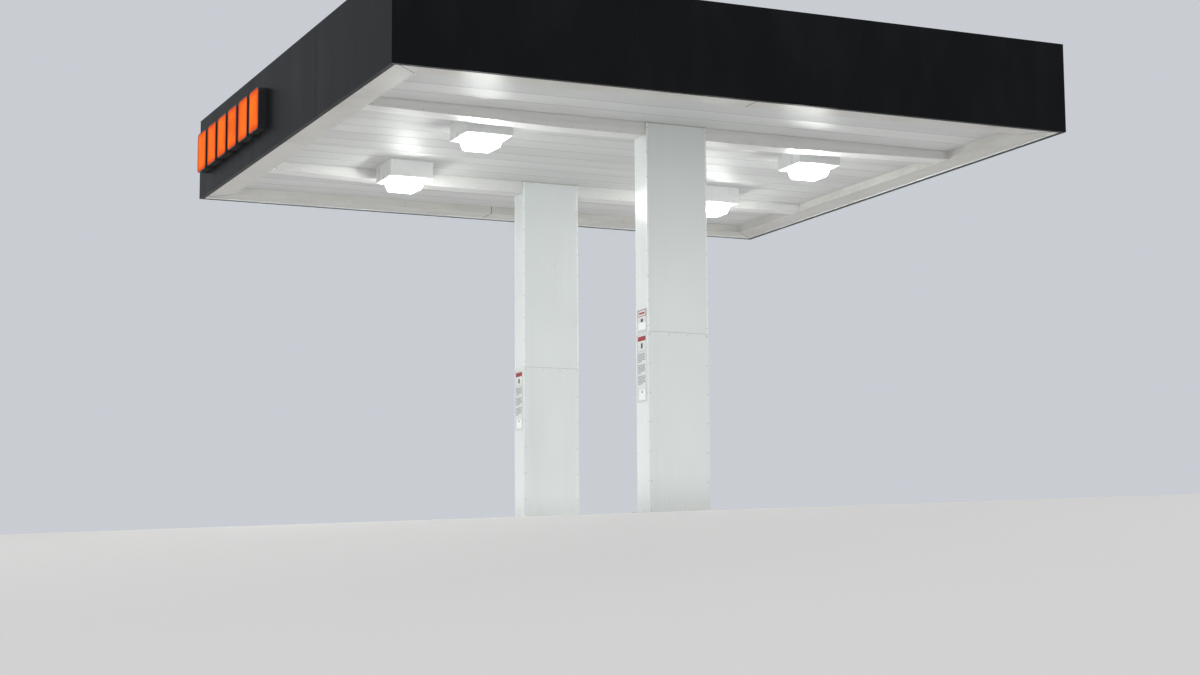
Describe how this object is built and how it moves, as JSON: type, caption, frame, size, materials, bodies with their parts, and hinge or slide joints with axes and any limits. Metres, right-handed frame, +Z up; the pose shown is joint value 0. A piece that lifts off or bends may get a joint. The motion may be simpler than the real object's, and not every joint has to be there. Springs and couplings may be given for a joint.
{
  "type": "filling station canopy",
  "caption": "Flat-roofed filling station canopy on two cased columns, with a black fascia, white panned soffit, square lights and a glowing block sign.",
  "frame": {"origin": "ground level under the centre of the roof, midway between the two columns", "axes": "+X along the two main beams, towards the end away from the sign; +Y from the front column to the back column; +Z up"},
  "size_m": [8.765, 8.148, 5.78],
  "materials": {
    "column_sheet": "gloss white coil-coated sheet",
    "trim": "gloss white extruded corner trim",
    "beam_sheet": "satin white folded sheet",
    "deck_sheet": "gloss white roll-formed pans",
    "edge_sheet": "satin off-white folded sheet",
    "fascia_panel": "satin black composite panel",
    "primed_steel": "grey shop primer",
    "galvanised_steel": "hot-dip galvanised with a spangle",
    "light_enamel": "white polyester powder coat",
    "light_glass": "prismatic drop lens, lit from inside, emissive",
    "sign_can": "black painted aluminium returns",
    "sign_acrylic": "orange-red acrylic, lit from inside, emissive",
    "notice_plate": "white vinyl notice with a plain red head band"
  },
  "bodies": {
    "root": {"front_base_plate": "primed_steel", "front_column_steel": "primed_steel", "front_column_wide_panels": "column_sheet", "front_column_narrow_panels": "column_sheet", "front_column_corner_trims": "trim", "front_column_foot_wrap": "column_sheet", "back_base_plate": "primed_steel", "back_column_steel": "primed_steel", "back_column_wide_panels": "column_sheet", "back_column_narrow_panels": "column_sheet", "back_column_corner_trims": "trim", "back_column_foot_wrap": "column_sheet", "front_girder": "primed_steel", "back_girder": "primed_steel", "front_beam_casing": "beam_sheet", "back_beam_casing": "beam_sheet", "purlin_1": "galvanised_steel", "purlin_2": "galvanised_steel", "purlin_3": "galvanised_steel", "purlin_4": "galvanised_steel", "purlin_5": "galvanised_steel", "deck_front": "deck_sheet", "deck_middle": "deck_sheet", "deck_back": "deck_sheet", "edge_soffit_front": "edge_sheet", "edge_soffit_right": "edge_sheet", "edge_soffit_back": "edge_sheet", "edge_soffit_left": "edge_sheet", "fascia_front": "fascia_panel", "fascia_right": "fascia_panel", "fascia_back": "fascia_panel", "fascia_left": "fascia_panel", "fascia_frame_front": "galvanised_steel", "fascia_frame_right": "galvanised_steel", "fascia_frame_back": "galvanised_steel", "fascia_frame_left": "galvanised_steel", "fascia_struts_right": "galvanised_steel", "fascia_struts_left": "galvanised_steel", "gutter_left": "galvanised_steel", "gutter_right": "galvanised_steel", "light_box_1": "light_enamel", "light_box_2": "light_enamel", "light_box_3": "light_enamel", "light_box_4": "light_enamel", "light_lens_1": "light_glass", "light_lens_2": "light_glass", "light_lens_3": "light_glass", "light_lens_4": "light_glass", "sign_cans": "sign_can", "sign_faces": "sign_acrylic", "front_column_notices": "notice_plate", "back_column_notice": "notice_plate"}
  },
  "joints": []
}
